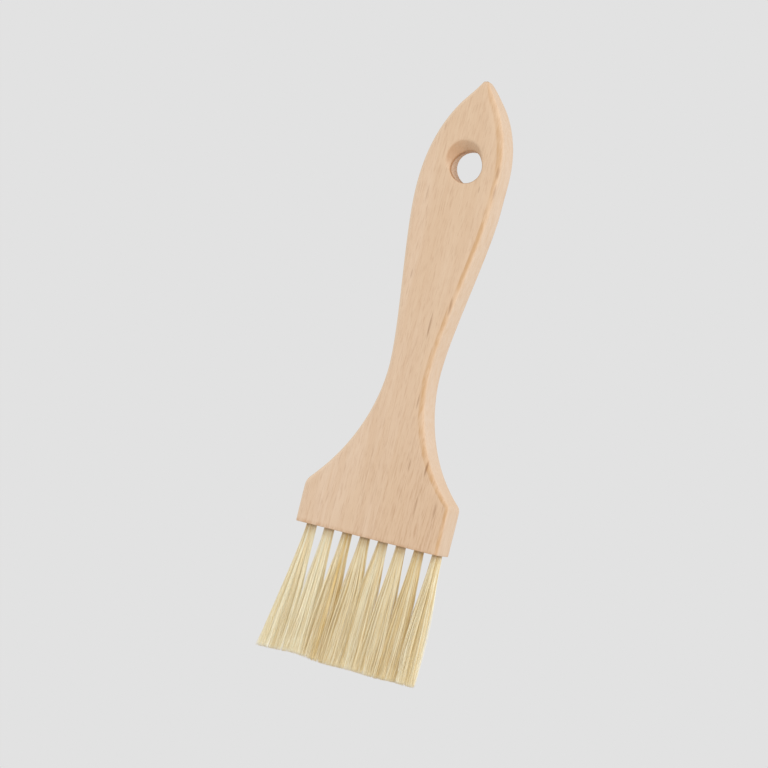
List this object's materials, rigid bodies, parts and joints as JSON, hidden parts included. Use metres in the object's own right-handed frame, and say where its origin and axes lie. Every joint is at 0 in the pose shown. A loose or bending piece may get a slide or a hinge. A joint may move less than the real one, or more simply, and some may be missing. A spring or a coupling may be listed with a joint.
{
  "type": "pastry brush",
  "caption": "Flat pastry brush: one-piece beech handle with a pointed leaf-shaped grip, hanging hole and a single row of round natural bristle tufts in its straight end.",
  "frame": {"origin": "on the flat back face, on the head's centre line, 10 mm from the sawn end that the bristles leave", "axes": "+X across the head to its right seen from the front, +Y along the handle to its tip, +Z out of the front face"},
  "size_m": [0.0519, 0.1919, 0.011],
  "materials": {
    "beech": "matte",
    "bristle": "matte",
    "anchor_metal": "satin"
  },
  "bodies": {
    "root": {"handle": "beech", "tuft_1": "bristle", "tuft_2": "bristle", "tuft_3": "bristle", "tuft_4": "bristle", "tuft_5": "bristle", "tuft_6": "bristle", "tuft_7": "bristle", "tuft_8": "bristle", "anchor_1": "anchor_metal", "anchor_2": "anchor_metal", "anchor_3": "anchor_metal", "anchor_4": "anchor_metal", "anchor_5": "anchor_metal", "anchor_6": "anchor_metal", "anchor_7": "anchor_metal", "anchor_8": "anchor_metal"}
  },
  "joints": []
}
